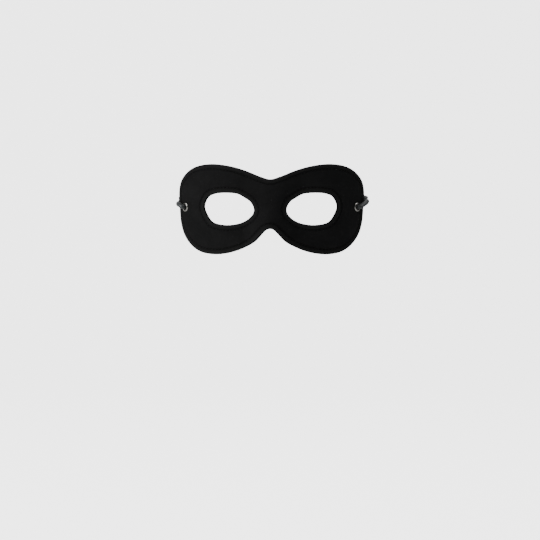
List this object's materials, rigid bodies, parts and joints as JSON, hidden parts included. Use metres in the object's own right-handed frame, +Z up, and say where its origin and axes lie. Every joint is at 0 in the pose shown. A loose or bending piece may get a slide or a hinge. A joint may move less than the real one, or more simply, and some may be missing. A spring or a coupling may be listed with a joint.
{
  "type": "domino mask",
  "caption": "Black felt half mask with two almond eye holes, metal eyelets at its sides and a round elastic cord that runs behind the head, in the form it has when worn.",
  "frame": {"origin": "the felt's inner face on the centre line, level with the eyelets, where the mask sits on the bridge of the nose", "axes": "+X to the wearer's left, -Y out of the front of the mask, +Z up"},
  "size_m": [0.1656, 0.2003, 0.0751],
  "materials": {
    "felt": "matt black felt with topstitched edges",
    "eyelet_metal": "plated, lightly worn",
    "elastic": "charcoal braid with a soft sheen"
  },
  "bodies": {
    "root": {"mask_panel": "felt", "eyelet_left": "eyelet_metal", "eyelet_right": "eyelet_metal", "elastic_cord": "elastic", "cord_loop_left": "elastic", "cord_loop_right": "elastic", "knot_left": "elastic", "knot_right": "elastic"}
  },
  "joints": []
}
